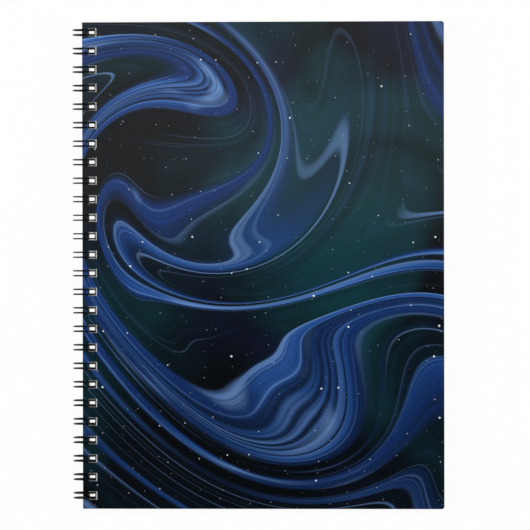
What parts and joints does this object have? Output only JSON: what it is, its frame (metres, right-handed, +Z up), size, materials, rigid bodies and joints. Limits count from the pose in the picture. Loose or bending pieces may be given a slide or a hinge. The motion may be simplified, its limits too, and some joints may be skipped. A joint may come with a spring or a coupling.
{
  "type": "notepad",
  "caption": "Wire-bound notepad with square-punched pages, a dark marbled front cover and a stiff back board that turn on twin-loop rings.",
  "frame": {"origin": "on the surface that the notepad lies on, under the middle of its whole outline", "axes": "+X from the spine to the fore edge, +Y from the tail edge to the head edge, +Z up out of the front cover"},
  "size_m": [0.1698, 0.2222, 0.0109],
  "materials": {
    "printed_card": "satin laminated print",
    "paper": "uncoated",
    "back_board": "matt black board",
    "black_wire": "gloss black coating"
  },
  "bodies": {
    "pad": {"pages": "paper", "binding_wire": "black_wire"},
    "front": {"front_cover": "printed_card"},
    "back": {"back_cover": "back_board"}
  },
  "joints": [
    {"name": "front_cover_turn", "type": "hinge", "parent": "pad", "child": "front", "pos_m": [-0.07939, 0, 0.00547], "axis": [0, -1, 0], "range_deg": [0, 180]},
    {"name": "back_cover_turn", "type": "hinge", "parent": "pad", "child": "back", "pos_m": [-0.07939, 0, 0.00547], "axis": [0, -1, 0], "range_deg": [-180, 0]}
  ]
}
